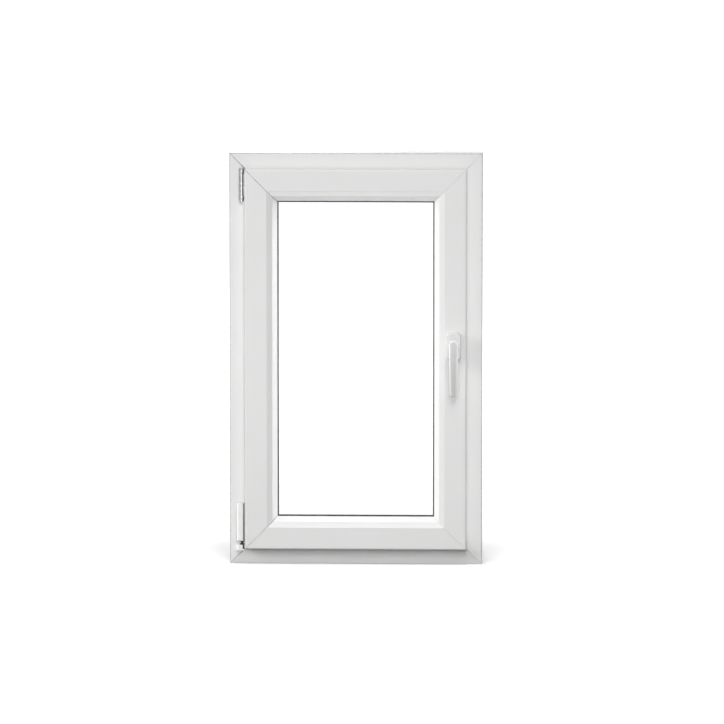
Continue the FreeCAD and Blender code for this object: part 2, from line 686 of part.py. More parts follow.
os.makedirs("parts", exist_ok=True)
for nodes in (frame_nodes(), sash_nodes(), glazing_nodes(), hardware_nodes()):
    for name, shape in nodes.items():
        shape.exportStep("parts/" + name + ".step")
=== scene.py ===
import bmesh
import bpy
import json
import math
from mathutils import Matrix, Vector


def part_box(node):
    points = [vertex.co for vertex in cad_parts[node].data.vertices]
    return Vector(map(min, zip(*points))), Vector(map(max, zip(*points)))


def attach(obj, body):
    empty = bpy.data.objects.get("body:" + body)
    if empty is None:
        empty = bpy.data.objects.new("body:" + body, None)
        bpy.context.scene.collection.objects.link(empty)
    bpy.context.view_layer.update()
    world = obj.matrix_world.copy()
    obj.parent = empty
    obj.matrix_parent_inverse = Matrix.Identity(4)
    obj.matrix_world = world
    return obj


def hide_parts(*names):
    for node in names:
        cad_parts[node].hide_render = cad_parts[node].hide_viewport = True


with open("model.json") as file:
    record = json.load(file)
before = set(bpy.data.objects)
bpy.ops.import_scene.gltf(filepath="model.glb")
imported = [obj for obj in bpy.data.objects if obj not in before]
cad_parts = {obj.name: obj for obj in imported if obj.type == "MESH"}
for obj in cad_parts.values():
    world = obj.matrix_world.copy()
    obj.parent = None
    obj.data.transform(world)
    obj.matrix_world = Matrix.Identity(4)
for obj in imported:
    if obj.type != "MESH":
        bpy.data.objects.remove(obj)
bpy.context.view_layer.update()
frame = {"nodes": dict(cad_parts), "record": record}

# The fixed frame: four bars of white extruded plastic, cut at 45 degrees and welded at the corners.
# The weld's flash is cleaned off to a shallow groove that gathers dirt; its dark mark is stronger on the
# hinge side, and deepened with painted shade near the sash.
# The bars are the imported ones; their finish shows the fine lines that the die draws along each bar.
FRAME_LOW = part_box("frame_sill")[0]
FRAME_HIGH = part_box("frame_head")[1]
HALF_WIDTH = (FRAME_HIGH.x - FRAME_LOW.x) / 2
HALF_DEPTH = (FRAME_HIGH.y - FRAME_LOW.y) / 2
HALF_HEIGHT = (FRAME_HIGH.z - FRAME_LOW.z) / 2
MIDDLE_HEIGHT = (FRAME_HIGH.z + FRAME_LOW.z) / 2
SASH_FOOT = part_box("sash_bottom_rail")[0].z
PLASTIC_WHITE = (0.86, 0.86, 0.855, 1)
PLASTIC_DRIFT = 0.985
PLASTIC_IOR = 1.53
ALONG_RAIL = (1.5, 620, 620)
ALONG_STILE = (620, 620, 1.5)
FRAME_SEAM = 0.0023
# Seam colour: dirt in the mitre joint, and painted shade where the frame's mitre nears the sash.
SEAM_DIRT_AND_SHADE = (0.07, 0.069, 0.066, 1)
SEAM_SINK = 2.0
SEAM_SIDES = (-0.2, 0.2)
SEAM_SHADE_APPROACH = (0.005, 0.035)
# Painted shade: a grey line along the frame's outer edges, where the rounded edge falls away from the light;
# the gloss is duller there too.
EDGE_SHADE_GREY = (0.42, 0.418, 0.41, 1)
EDGE_DULLING = 0.2
EDGE_SHADE_WIDTH = 0.0026
EDGE_SHADE_CORE = 0.0008
EDGE_SHADE_SKIN = (HALF_DEPTH - 0.0015, HALF_DEPTH - 0.0003)
EDGE_SHADE_FOOT = (FRAME_LOW.z + 0.002, FRAME_LOW.z + 0.006)
# Painted shadow: a grey band on the sill's face close under the sash's lip, where the sash shades it.
LIP_SHADE_GREY = (0.24, 0.238, 0.234, 1)
LIP_SHADE_REACH = 0.008
LIP_SHADE_SHARE = 0.65
LIP_SHADE_SKIN = (FRAME_LOW.y + 0.0005, FRAME_LOW.y + 0.0015)


def node_group(name, inputs, outputs):
    """An empty shader group with float or vector inputs and float outputs: the tree and its two ends."""
    tree = bpy.data.node_groups.new(name, "ShaderNodeTree")
    for label, value in inputs.items():
        kind = "NodeSocketVector" if isinstance(value, tuple) else "NodeSocketFloat"
        tree.interface.new_socket(label, in_out="INPUT", socket_type=kind).default_value = value
    for label in outputs:
        tree.interface.new_socket(label, in_out="OUTPUT", socket_type="NodeSocketFloat")
    return tree, tree.nodes.new("NodeGroupInput").outputs, tree.nodes.new("NodeGroupOutput").inputs


def feed(tree, socket, value):
    """Links a socket, or sets a plain value, on a node's input."""
    if isinstance(value, bpy.types.NodeSocket):
        tree.links.new(value, socket)
    else:
        socket.default_value = value


def compute(tree, operation, *values):
    """One step of arithmetic on values or sockets."""
    node = tree.nodes.new("ShaderNodeMath")
    node.operation = operation
    for socket, value in zip(node.inputs, values):
        feed(tree, socket, value)
    return node.outputs[0]


def product(tree, first, *others):
    """Masks multiplied together."""
    for other in others:
        first = compute(tree, "MULTIPLY", first, other)
    return first


def ramp(tree, value, between, gives):
    """Runs smoothly from the first given value to the second as a value crosses a range."""
    node = tree.nodes.new("ShaderNodeMapRange")
    node.interpolation_type = "SMOOTHSTEP"
    labels = ("Value", "From Min", "From Max", "To Min", "To Max")
    for label, number in zip(labels, (value, *between, *gives)):
        feed(tree, node.inputs[label], number)
    return node.outputs[0]


def object_point(tree):
    """The shaded point, in the frame that all the pieces share."""
    return tree.nodes.new("ShaderNodeTexCoord").outputs["Object"]


def split_point(tree, point):
    """A point's X, Y and Z."""
    node = tree.nodes.new("ShaderNodeSeparateXYZ")
    tree.links.new(point, node.inputs[0])
    return node.outputs


def noise(tree, point, scale, detail):
    """Cloudy noise, with its scale in waves a metre."""
    node = tree.nodes.new("ShaderNodeTexNoise")
    feed(tree, node.inputs["Vector"], point)
    node.inputs["Scale"].default_value = scale
    node.inputs["Detail"].default_value = detail
    return node.outputs[0]


def from_edges(tree, place):
    """How far a point is from the window's nearer side, and from its nearer end."""
    from_side = compute(tree, "SUBTRACT", HALF_WIDTH, compute(tree, "ABSOLUTE", place["X"]))
    above_middle = compute(tree, "SUBTRACT", place["Z"], MIDDLE_HEIGHT)
    return from_side, compute(tree, "SUBTRACT", HALF_HEIGHT, compute(tree, "ABSOLUTE", above_middle))


def seam_group():
    """A mask along the welded mitres of frame and sash: a dark joint, broken up, strongest on the hinge side,
    and deepened with painted shade where the frame's mitre nears the sash.
    """
    tree, given, result = node_group("Mitre Seam", {"Width": FRAME_SEAM}, ["Mask"])
    point = object_point(tree)
    place = split_point(tree, point)
    from_side, from_end = from_edges(tree, place)
    off_mitre = compute(tree, "ABSOLUTE", compute(tree, "SUBTRACT", from_side, from_end))
    line = ramp(tree, off_mitre, between=(given["Width"], 0.0), gives=(0.0, 1.0))
    patches = ramp(tree, noise(tree, point, scale=140.0, detail=3.0), between=(0.3, 0.6), gives=(0.6, 1.0))
    hinge_side = ramp(tree, place["X"], between=SEAM_SIDES, gives=(1.0, 0.3))
    # Painted shade: the frame's mitre mark darkens towards the sash.
    shade_near_sash = ramp(tree, from_side, between=SEAM_SHADE_APPROACH, gives=(0.55, 1.0))
    feed(tree, result["Mask"], product(tree, line, patches, hinge_side, shade_near_sash))
    return tree


def edge_shade_group():
    """A mask along the frame's outer edges, front and back, for painted shade at those edges: broken up and
    least at the foot.
    """
    tree, given, result = node_group("Arris Shade", {"Width": EDGE_SHADE_WIDTH}, ["Mask"])
    point = object_point(tree)
    place = split_point(tree, point)
    from_edge = compute(tree, "MINIMUM", *from_edges(tree, place))
    line = ramp(tree, from_edge, between=(given["Width"], EDGE_SHADE_CORE), gives=(0.0, 1.0))
    on_face = ramp(tree, compute(tree, "ABSOLUTE", place["Y"]), between=EDGE_SHADE_SKIN, gives=(0.0, 1.0))
    patches = ramp(tree, noise(tree, point, scale=110.0, detail=4.0), between=(0.3, 0.65), gives=(0.55, 1.0))
    off_ground = ramp(tree, place["Z"], between=EDGE_SHADE_FOOT, gives=(0.2, 1.0))
    feed(tree, result["Mask"], product(tree, line, on_face, patches, off_ground))
    return tree


def lip_shade_group():
    """A mask for painted shadow on the sill's face, close under the lip of the sash."""
    tree, given, result = node_group("Lip Shade", {"Reach": LIP_SHADE_REACH}, ["Mask"])
    point = object_point(tree)
    place = split_point(tree, point)
    below_lip = compute(tree, "SUBTRACT", SASH_FOOT, place["Z"])
    fade = ramp(tree, below_lip, between=(0.0, given["Reach"]), gives=(1.0, 0.0))
    on_face = ramp(tree, place["Y"], between=LIP_SHADE_SKIN, gives=(1.0, 0.0))
    patches = ramp(tree, noise(tree, point, scale=90.0, detail=3.0), between=(0.3, 0.7), gives=(0.75, 1.0))
    feed(tree, result["Mask"], product(tree, fade, on_face, patches))
    return tree


def drawn_lines_group():
    """Fine lines along an extruded bar, and a slow drift of tone over it."""
    tree, given, result = node_group("Drawn Lines", {"Stretch": ALONG_RAIL}, ["Lines", "Drift"])
    point = object_point(tree)
    stretched = tree.nodes.new("ShaderNodeVectorMath")
    stretched.operation = "MULTIPLY"
    tree.links.new(point, stretched.inputs[0])
    tree.links.new(given["Stretch"], stretched.inputs[1])
    feed(tree, result["Lines"], noise(tree, stretched.outputs[0], scale=1.0, detail=4.0))
    feed(tree, result["Drift"], noise(tree, point, scale=7.0, detail=3.0))
    return tree


MITRE_SEAM = seam_group()
ARRIS_SHADE = edge_shade_group()
DRAWN_LINES = drawn_lines_group()
LIP_SHADE = lip_shade_group()


def new_material(name):
    """An empty material with its surface shader: the material, its tree and the shader's inputs."""
    material = bpy.data.materials.new(name)
    material.use_nodes = True
    tree = material.node_tree
    return material, tree, tree.nodes["Principled BSDF"].inputs


def use_group(tree, group, **values):
    """Places a shared effect in a material, with its own values."""
    node = tree.nodes.new("ShaderNodeGroup")
    node.node_tree = group
    for label, value in values.items():
        node.inputs[label].default_value = value
    return node.outputs


def mix_colour(tree, share, first, second):
    """Goes from the first colour to the second as the share goes from 0 to 1."""
    node = tree.nodes.new("ShaderNodeMix")
    node.data_type = "RGBA"
    for index, value in zip((0, 6, 7), (share, first, second)):
        feed(tree, node.inputs[index], value)
    return node.outputs[2]


def shaded(colour, share):
    """A colour at a share of its brightness."""
    return tuple(share * c for c in colour[:3]) + (1,)


def bump(tree, height, strength, distance):
    """A normal that follows a height."""
    node = tree.nodes.new("ShaderNodeBump")
    node.inputs["Strength"].default_value = strength
    node.inputs["Distance"].default_value = distance
    tree.links.new(height, node.inputs["Height"])
    return node.outputs[0]


def white_bar(name, stretch, seam_width, dirt, under_lip=False):
    """Extruded plastic: soft gloss, drawn lines along the bar, painted shade and duller gloss along the outer
    edges, painted shadow under the sash's lip, and dirt in the mitre deepened with painted shade near the
    sash.
    """
    material, tree, shader = new_material(name)
    lines = use_group(tree, DRAWN_LINES, Stretch=stretch)
    seam = use_group(tree, MITRE_SEAM, Width=seam_width)["Mask"]
    arris_shade = use_group(tree, ARRIS_SHADE)["Mask"]
    drift = ramp(tree, lines["Drift"], between=(0.3, 0.7), gives=(0.0, 1.0))
    clean = mix_colour(tree, drift, PLASTIC_WHITE, shaded(PLASTIC_WHITE, PLASTIC_DRIFT))
    # Painted shade along the frame's outer edges.
    colour = mix_colour(tree, arris_shade, clean, EDGE_SHADE_GREY)
    if under_lip:
        # Painted shadow on the sill under the sash's lip.
        lip_shade = use_group(tree, LIP_SHADE)["Mask"]
        colour = mix_colour(tree, compute(tree, "MULTIPLY", lip_shade, LIP_SHADE_SHARE), colour, LIP_SHADE_GREY)
    soiled = mix_colour(tree, compute(tree, "MULTIPLY", seam, dirt), colour, SEAM_DIRT_AND_SHADE)
    feed(tree, shader["Base Color"], soiled)
    gloss = ramp(tree, lines["Lines"], between=(0.2, 0.8), gives=(0.3, 0.42))
    feed(tree, shader["Roughness"], compute(tree, "MULTIPLY_ADD", arris_shade, EDGE_DULLING, gloss))
    shader["IOR"].default_value = PLASTIC_IOR
    height = compute(tree, "SUBTRACT", lines["Lines"], compute(tree, "MULTIPLY", seam, SEAM_SINK))
    feed(tree, shader["Normal"], bump(tree, height, strength=0.08, distance=0.0004))
    return material


def dress(nodes, material):
    """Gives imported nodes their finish."""
    for name in nodes:
        for slot in frame["nodes"][name].material_slots:
            slot.material = material


dress(["frame_head"], white_bar("frame_head_plastic", ALONG_RAIL, FRAME_SEAM, dirt=1.0))
dress(["frame_sill"], white_bar("frame_sill_plastic", ALONG_RAIL, FRAME_SEAM, dirt=1.0, under_lip=True))
frame_jamb = white_bar("frame_jamb_plastic", ALONG_STILE, FRAME_SEAM, dirt=1.0)
dress(["frame_hinge_jamb", "frame_lock_jamb"], frame_jamb)

# The sash: four bars of the same plastic, welded in the same way, that stand proud of the frame in the room.
# The weld on its face is finer and cleaner than the frame's.
SASH_SEAM = 0.0014
SASH_DIRT = 0.85
sash_rail = white_bar("sash_rail_plastic", ALONG_RAIL, SASH_SEAM, SASH_DIRT)
sash_stile = white_bar("sash_stile_plastic", ALONG_STILE, SASH_SEAM, SASH_DIRT)
dress(["sash_top_rail", "sash_bottom_rail"], sash_rail)
dress(["sash_hinge_stile", "sash_lock_stile"], sash_stile)

# The weather seals: soft grey rubber bulbs pushed into grooves of frame and sash, and squeezed when it shuts.
# The glazing gaskets are the same rubber; the inner one shows as a thin dark line round the glass.
RUBBER_GREY = (0.07, 0.071, 0.067, 1)
RUBBER_BLOOM = (0.12, 0.121, 0.114, 1)


def gasket_rubber():
    """Matt rubber with a fine grain and a pale bloom in patches."""
    material, tree, shader = new_material("gasket_rubber")
    point = object_point(tree)
    bloom = ramp(tree, noise(tree, point, scale=60.0, detail=5.0), between=(0.42, 0.7), gives=(0.0, 1.0))
    grain = noise(tree, point, scale=2600.0, detail=2.0)
    feed(tree, shader["Base Color"], mix_colour(tree, bloom, RUBBER_GREY, RUBBER_BLOOM))
    feed(tree, shader["Roughness"], ramp(tree, bloom, between=(0.0, 1.0), gives=(0.7, 0.85)))
    shader["Specular IOR Level"].default_value = 0.1
    feed(tree, shader["Normal"], bump(tree, grain, strength=0.2, distance=0.0002))
    return material


seal_rubber = gasket_rubber()
dress(["frame_gasket", "sash_gasket", "glazing_gasket_inner", "glazing_gasket_outer"], seal_rubber)

# The sealed glass unit: two panes of clear float glass on a hollow aluminium spacer, bent round the corners.
# The spacer's inner face is pierced with two rows of pinholes, through which its drying agent works.
GLASS_TINT = (0.994, 0.998, 0.996, 1)
GLASS_IOR = 1.5
SPACER_METAL = (0.70, 0.71, 0.72, 1)
SPACER_LINES = (40, 900, 40)
PINHOLE_DARK = (0.03, 0.03, 0.03, 1)
PINHOLE_PITCH = 0.004
PINHOLE_EDGE = (0.0007, 0.0004)


def float_glass():
    """Clear glass that lets lamps through, with the faint waviness of the float bath."""
    material, tree, shader = new_material("float_glass")
    point = object_point(tree)
    shader["Base Color"].default_value = GLASS_TINT
    shader["Transmission Weight"].default_value = 1.0
    shader["IOR"].default_value = GLASS_IOR
    smear = noise(tree, point, scale=9.0, detail=4.0)
    feed(tree, shader["Roughness"], ramp(tree, smear, between=(0.5, 0.8), gives=(0.0, 0.02)))
    wave = noise(tree, point, scale=3.0, detail=1.0)
    feed(tree, shader["Normal"], bump(tree, wave, strength=0.02, distance=0.002))
    clear = tree.nodes.new("ShaderNodeBsdfTransparent")
    clear.inputs["Color"].default_value = GLASS_TINT
    mix = tree.nodes.new("ShaderNodeMixShader")
    tree.links.new(tree.nodes.new("ShaderNodeLightPath").outputs["Is Shadow Ray"], mix.inputs[0])
    tree.links.new(tree.nodes["Principled BSDF"].outputs[0], mix.inputs[1])
    tree.links.new(clear.outputs[0], mix.inputs[2])
    tree.links.new(mix.outputs[0], tree.nodes["Material Output"].inputs["Surface"])
    return material


def pierced_spacer():
    """Mill finish aluminium with a row of pinholes on each side of its middle."""
    material, tree, shader = new_material("spacer_aluminium")
    place = split_point(tree, object_point(tree))
    low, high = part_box("spacer_bar")
    from_middle = compute(tree, "SUBTRACT", place["Y"], (low.y + high.y) / 2)
    across = compute(tree, "SUBTRACT", compute(tree, "ABSOLUTE", from_middle), PINHOLE_PITCH)
    along = compute(tree, "PINGPONG", compute(tree, "ADD", place["X"], place["Z"]), PINHOLE_PITCH / 2)
    squares = [compute(tree, "MULTIPLY", distance, distance) for distance in (across, along)]
    from_hole = compute(tree, "SQRT", compute(tree, "ADD", *squares))
    hole = ramp(tree, from_hole, between=PINHOLE_EDGE, gives=(0.0, 1.0))
    lines = use_group(tree, DRAWN_LINES, Stretch=SPACER_LINES)["Lines"]
    feed(tree, shader["Base Color"], mix_colour(tree, hole, SPACER_METAL, PINHOLE_DARK))
    feed(tree, shader["Metallic"], compute(tree, "SUBTRACT", 1.0, hole))
    feed(tree, shader["Roughness"], ramp(tree, lines, between=(0.2, 0.8), gives=(0.28, 0.45)))
    height = compute(tree, "SUBTRACT", lines, hole)
    feed(tree, shader["Normal"], bump(tree, height, strength=0.15, distance=0.0003))
    return material


dress(["glass_inner_pane", "glass_outer_pane"], float_glass())
dress(["spacer_bar"], pierced_spacer())

# The glazing beads: thin hollow bars of the same plastic, mitred at the corners and clipped into the sash.
# They aren't welded, so a dark joint shows at each mitre.
BEAD_RAILS = ["bead_top", "bead_bottom"]
BEAD_STILES = ["bead_hinge_side", "bead_lock_side"]
BEAD_JOINT = 0.0014
dress(BEAD_RAILS, white_bar("bead_rail_plastic", ALONG_RAIL, BEAD_JOINT, dirt=1.0))
dress(BEAD_STILES, white_bar("bead_stile_plastic", ALONG_STILE, BEAD_JOINT, dirt=1.0))

# The drain hoods: two small caps over the slots in the outside face of the sill, open below for the water.
# They are moulded from the same white plastic and pressed on, and have the fine grain of their mould.
DRAIN_CAPS = ["drain_cap_left", "drain_cap_right"]
GRAIN_DRIFT = 0.97
GRAIN_GLOSS = 0.08


def grain_group():
    """The fine grain of a moulded or powder coated surface, and a slow drift of tone over it."""
    tree, given, result = node_group("Moulded Grain", {"Scale": 900.0}, ["Grain", "Drift"])
    point = object_point(tree)
    sized = tree.nodes.new("ShaderNodeVectorMath")
    sized.operation = "SCALE"
    tree.links.new(point, sized.inputs[0])
    tree.links.new(given["Scale"], sized.inputs["Scale"])
    feed(tree, result["Grain"], noise(tree, sized.outputs[0], scale=1.0, detail=2.0))
    feed(tree, result["Drift"], noise(tree, point, scale=35.0, detail=3.0))
    return tree


MOULDED_GRAIN = grain_group()


def grained_white(name, colour, scale, strength, roughness):
    """A white moulding or coating: fine grain in the gloss and the surface."""
    material, tree, shader = new_material(name)
    grain = use_group(tree, MOULDED_GRAIN, Scale=scale)
    drift = ramp(tree, grain["Drift"], between=(0.35, 0.7), gives=(0.0, 1.0))
    feed(tree, shader["Base Color"], mix_colour(tree, drift, colour, shaded(colour, GRAIN_DRIFT)))
    gloss = ramp(tree, grain["Grain"], between=(0.3, 0.7), gives=(roughness, roughness + GRAIN_GLOSS))
    feed(tree, shader["Roughness"], gloss)
    feed(tree, shader["Normal"], bump(tree, grain["Grain"], strength, distance=0.0003))
    return material


cap_plastic = grained_white("drain_cap_plastic", PLASTIC_WHITE, scale=1500.0, strength=0.1, roughness=0.4)
dress(DRAIN_CAPS, cap_plastic)

# The handle's rosette: a die cast plate with eased edges, screwed to the stile under a snapped-on cover.
# A fine joint round its foot shows where the cover ends; the lever's neck turns in a sunk bearing.
# Both it and the lever are powder coated white.
COAT_WHITE = (0.82, 0.82, 0.815, 1)
ROSETTE_CORNER = 0.012
ROSETTE_EASE = 0.003
CORNER_STEPS = 8
EASE_STEPS = 5
BEARING_RADIUS = 0.0083
BEARING_DEPTH = 0.0105
COVER_JOINT_HEIGHT = 0.002
COVER_JOINT_WIDTH = 0.0005
ROOMWARD = Vector((0, -1, 0))
SHARP = math.radians(40)
powder_coat = grained_white("handle_powder_coat", COAT_WHITE, scale=1300.0, strength=0.12, roughness=0.26)
handle_axis = Vector(frame["record"]["behaviour"]["joints"][0]["pos_m"])


def finished(name, mesh, material):
    """Makes a piece from a bmesh, with its normals outward and its round faces shaded smooth."""
    bmesh.ops.recalc_face_normals(mesh, faces=mesh.faces)
    for face in mesh.faces:
        face.smooth = True
    for edge in mesh.edges:
        edge.smooth = edge.calc_face_angle(0) < SHARP
    data = bpy.data.meshes.new(name)
    mesh.to_mesh(data)
    mesh.free()
    data.materials.append(material)
    piece = bpy.data.objects.new(name, data)
    bpy.context.scene.collection.objects.link(piece)
    piece.modifiers.new("even_normals", "WEIGHTED_NORMAL").keep_sharp = True
    return piece


def shift_faces(mesh, faces, move):
    """Extrudes faces together and moves the new ones; a sheet keeps its old faces and becomes a block."""
    closed = not any(edge.is_boundary for edge in mesh.edges)
    made = bmesh.ops.extrude_face_region(mesh, geom=faces)["geom"]
    moved = [part for part in made if isinstance(part, bmesh.types.BMVert)]
    bmesh.ops.translate(mesh, verts=moved, vec=move)
    if closed:
        bmesh.ops.delete(mesh, geom=faces, context="FACES_ONLY")
    return [part for part in made if isinstance(part, bmesh.types.BMFace)]


def round_off(mesh, parts, kind, radius, steps):
    """Rounds edges of a block, or corners of a flat sheet."""
    bmesh.ops.bevel(mesh, geom=parts, offset=radius, segments=steps, profile=0.5, affect=kind, material=-1)


def rim_of(faces):
    """The edges round a set of faces."""
    inside = set(faces)
    return [edge for face in faces for edge in face.edges if not inside.issuperset(edge.link_faces)]


def flat_oblong(width, height, corner, corner_steps, place):
    """A flat oblong with rounded corners that faces the room, with its middle at a place."""
    mesh = bmesh.new()
    bmesh.ops.create_grid(mesh, x_segments=1, y_segments=1, size=0.5)
    bmesh.ops.scale(mesh, verts=mesh.verts, vec=(width, height, 1))
    round_off(mesh, mesh.verts[:], "VERTICES", corner, corner_steps)
    upright = Matrix.Rotation(math.radians(90), 3, "X")
    bmesh.ops.rotate(mesh, verts=mesh.verts, cent=(0, 0, 0), matrix=upright)
    bmesh.ops.translate(mesh, verts=mesh.verts, vec=place)
    return mesh


def thicken(mesh, thickness, ease, ease_steps):
    """Draws a flat oblong out towards the room and eases its front edge."""
    front = shift_faces(mesh, mesh.faces[:], ROOMWARD * thickness)
    round_off(mesh, rim_of(front), "EDGES", ease, ease_steps)


def cut_cover_joint(mesh, foot):
    """A narrow groove round the plate, close to its foot."""
    for height in (COVER_JOINT_HEIGHT, COVER_JOINT_HEIGHT + COVER_JOINT_WIDTH):
        everything = mesh.verts[:] + mesh.edges[:] + mesh.faces[:]
        bmesh.ops.bisect_plane(mesh, geom=everything, plane_co=foot + ROOMWARD * height, plane_no=ROOMWARD)
    joint = []
    for face in mesh.faces:
        above_joint = foot.y - face.calc_center_median().y - COVER_JOINT_HEIGHT
        if abs(above_joint) < COVER_JOINT_WIDTH and abs(face.normal.y) < 0.5:
            joint.append(face)
    bmesh.ops.inset_region(mesh, faces=joint, thickness=0.0, depth=-COVER_JOINT_WIDTH, use_even_offset=True)


def sink_bearing(mesh):
    """A round hole in the plate's front, drawn from an inset of that face."""
    plate = min(mesh.faces, key=lambda face: face.calc_center_median().y)
    bmesh.ops.inset_individual(mesh, faces=[plate], thickness=ROSETTE_EASE)
    for vert in plate.verts:
        centre = Vector((handle_axis.x, vert.co.y, handle_axis.z))
        vert.co = centre + (vert.co - centre).normalized() * BEARING_RADIUS
    shift_faces(mesh, [plate], -ROOMWARD * BEARING_DEPTH)


def rosette_plate():
    """The plate under its cover."""
    low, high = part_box("handle_rosette")
    place = (handle_axis.x, high.y, handle_axis.z)
    mesh = flat_oblong(high.x - low.x, high.z - low.z, ROSETTE_CORNER, CORNER_STEPS, place)
    thicken(mesh, high.y - low.y, ROSETTE_EASE, EASE_STEPS)
    cut_cover_joint(mesh, high)
    sink_bearing(mesh)
    return finished("rosette_plate", mesh, powder_coat)


rosette = rosette_plate()
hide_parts("handle_rosette")
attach(rosette, "window")

# The lever: one casting, a round head and a grip that narrows, arches back to the sash and ends bluntly.
# Its front is a little crowned, its edges are well rounded for the hand, and its neck flares into the head.
GRIP_END_WIDTH = 0.017
GRIP_THICKNESS = 0.012
GRIP_ARCH = 0.019
GRIP_ARCH_POWER = 1.8
GRIP_CROWN = 0.0010
GRIP_END_ROUND = 0.0012
GRIP_END_STEPS = 3
FRONT_ROUND = 0.004
BACK_ROUND = 0.0025
HEAD_ROWS = 16
GRIP_ROWS = 32
LEVER_COLUMNS = 24
NECK_RADIUS = 0.008
FLARE_RADIUS = 0.0098
FLARE_LENGTH = 0.010
FLARE_STEPS = 8
NECK_SIDES = 48
SAME_POINT = 1e-6
QUARTER_TURN = math.radians(90)
FULL_TURN = math.radians(360)


def lever_row(row, low, high):
    """A row's height on the lever, half the lever's width there, and how far it has arched back."""
    radius = (high.x - low.x) / 2
    centre = high.z - radius
    if row < HEAD_ROWS:
        angle = QUARTER_TURN * (1 - row / HEAD_ROWS)
        return centre + radius * math.sin(angle), radius * math.cos(angle), 0.0
    share = (row - HEAD_ROWS) / GRIP_ROWS
    half = radius + (GRIP_END_WIDTH / 2 - radius) * share
    return centre + (low.z - centre) * share, half, GRIP_ARCH * share ** GRIP_ARCH_POWER


def fall(radius, from_edge):
    """How far a rounded edge has fallen away at a distance from the edge."""
    over = max(radius - from_edge, 0.0)
    return radius - math.sqrt(max(radius * radius - over * over, 0.0))


def lever_casting():
    """Head and grip: a grid bent to the lever's front, given a back, and rounded towards its edges."""
    low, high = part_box("handle_lever")
    radius = (high.x - low.x) / 2
    rows = HEAD_ROWS + GRIP_ROWS
    mesh = bmesh.new()
    bmesh.ops.create_grid(mesh, x_segments=LEVER_COLUMNS, y_segments=rows, size=1)
    places = {}
    for vert in mesh.verts:
        z, half, arch = lever_row(round((1 - vert.co.y) / 2 * rows), low, high)
        x = half * math.sin(QUARTER_TURN * vert.co.x)
        above = max(z - (high.z - radius), 0.0)
        from_edge = radius - math.hypot(x, above) if above else half - abs(x)
        vert.co = (handle_axis.x + x, low.y + arch, z)
        places[vert.index] = from_edge, GRIP_CROWN * (x / radius) ** 2
    front = mesh.verts[:]
    made = bmesh.ops.extrude_face_region(mesh, geom=mesh.faces[:])["geom"]
    back = [part for part in made if isinstance(part, bmesh.types.BMVert)]
    near = {tuple(vert.co): places[vert.index] for vert in front}
    for vert in back:
        from_edge, _ = near[tuple(vert.co)]
        vert.co.y += GRIP_THICKNESS - fall(BACK_ROUND, from_edge)
    for vert in front:
        from_edge, crown = places[vert.index]
        vert.co.y += fall(FRONT_ROUND, from_edge) + crown
    bmesh.ops.remove_doubles(mesh, verts=mesh.verts, dist=SAME_POINT)
    foot = [edge for edge in mesh.edges if max(vert.co.z for vert in edge.verts) < low.z + SAME_POINT]
    corners = [edge for edge in foot if edge.calc_face_angle(0) > SHARP]
    round_off(mesh, corners, "EDGES", GRIP_END_ROUND, GRIP_END_STEPS)
    return finished("lever_casting", mesh, powder_coat)


def turned(name, outline, closed, centre, axis, sides, material):
    """A piece spun from an outline about an axis; an outline that isn't closed ends on the axis."""
    mesh = bmesh.new()
    corners = [mesh.verts.new(point) for point in outline]
    following = corners[1:] + corners[:1] if closed else corners[1:]
    edges = [mesh.edges.new(pair) for pair in zip(corners, following)]
    bmesh.ops.spin(mesh, geom=corners + edges, cent=centre, axis=axis, angle=FULL_TURN, steps=sides,
                   use_merge=True)
    bmesh.ops.remove_doubles(mesh, verts=mesh.verts, dist=SAME_POINT)
    return finished(name, mesh, material)


def lever_neck():
    """The neck, turned about the handle's axis: a plain journal that flares into the head."""
    low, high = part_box("handle_lever")
    head_back = low.y + GRIP_THICKNESS
    inside_head = head_back - BACK_ROUND
    profile = [(0.0, high.y), (NECK_RADIUS, high.y), (NECK_RADIUS, head_back + FLARE_LENGTH)]
    for step in range(1, FLARE_STEPS + 1):
        turn = QUARTER_TURN * step / FLARE_STEPS
        radius = NECK_RADIUS + (FLARE_RADIUS - NECK_RADIUS) * (1 - math.cos(turn))
        profile.append((radius, head_back + FLARE_LENGTH * (1 - math.sin(turn))))
    profile += [(FLARE_RADIUS, inside_head), (0.0, inside_head)]
    outline = [(handle_axis.x + radius, y, handle_axis.z) for radius, y in profile]
    return turned("lever_neck", outline, False, handle_axis, (0, 1, 0), NECK_SIDES, powder_coat)


lever = lever_casting()
neck = lever_neck()
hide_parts("handle_lever")
for piece in (lever, neck):
    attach(piece, "handle")

# The top hinge: zinc plated steel, a bracket with two eyes on the frame and a knuckle on the sash's edge.
# The pin's flat buttons close both ends.
TOP_HINGE = ["top_hinge_bracket", "top_hinge_knuckle", "top_hinge_pin"]
ZINC = (0.29, 0.295, 0.30, 1)
ZINC_WORN = (0.40, 0.405, 0.41, 1)
ZINC_SHEEN = (0.35, 0.35, 0.36, 1)
ZINC_LINES = (900, 900, 25)
# Painted shade: the hinge steel darkens where it nears the sash, in the gap between hinge and sash.
HINGE_GAP_SHADE = (0.20, 0.20, 0.20, 1)
GAP_SHADE_START = 0.0022
GAP_SHADE_FULL = 0.0008


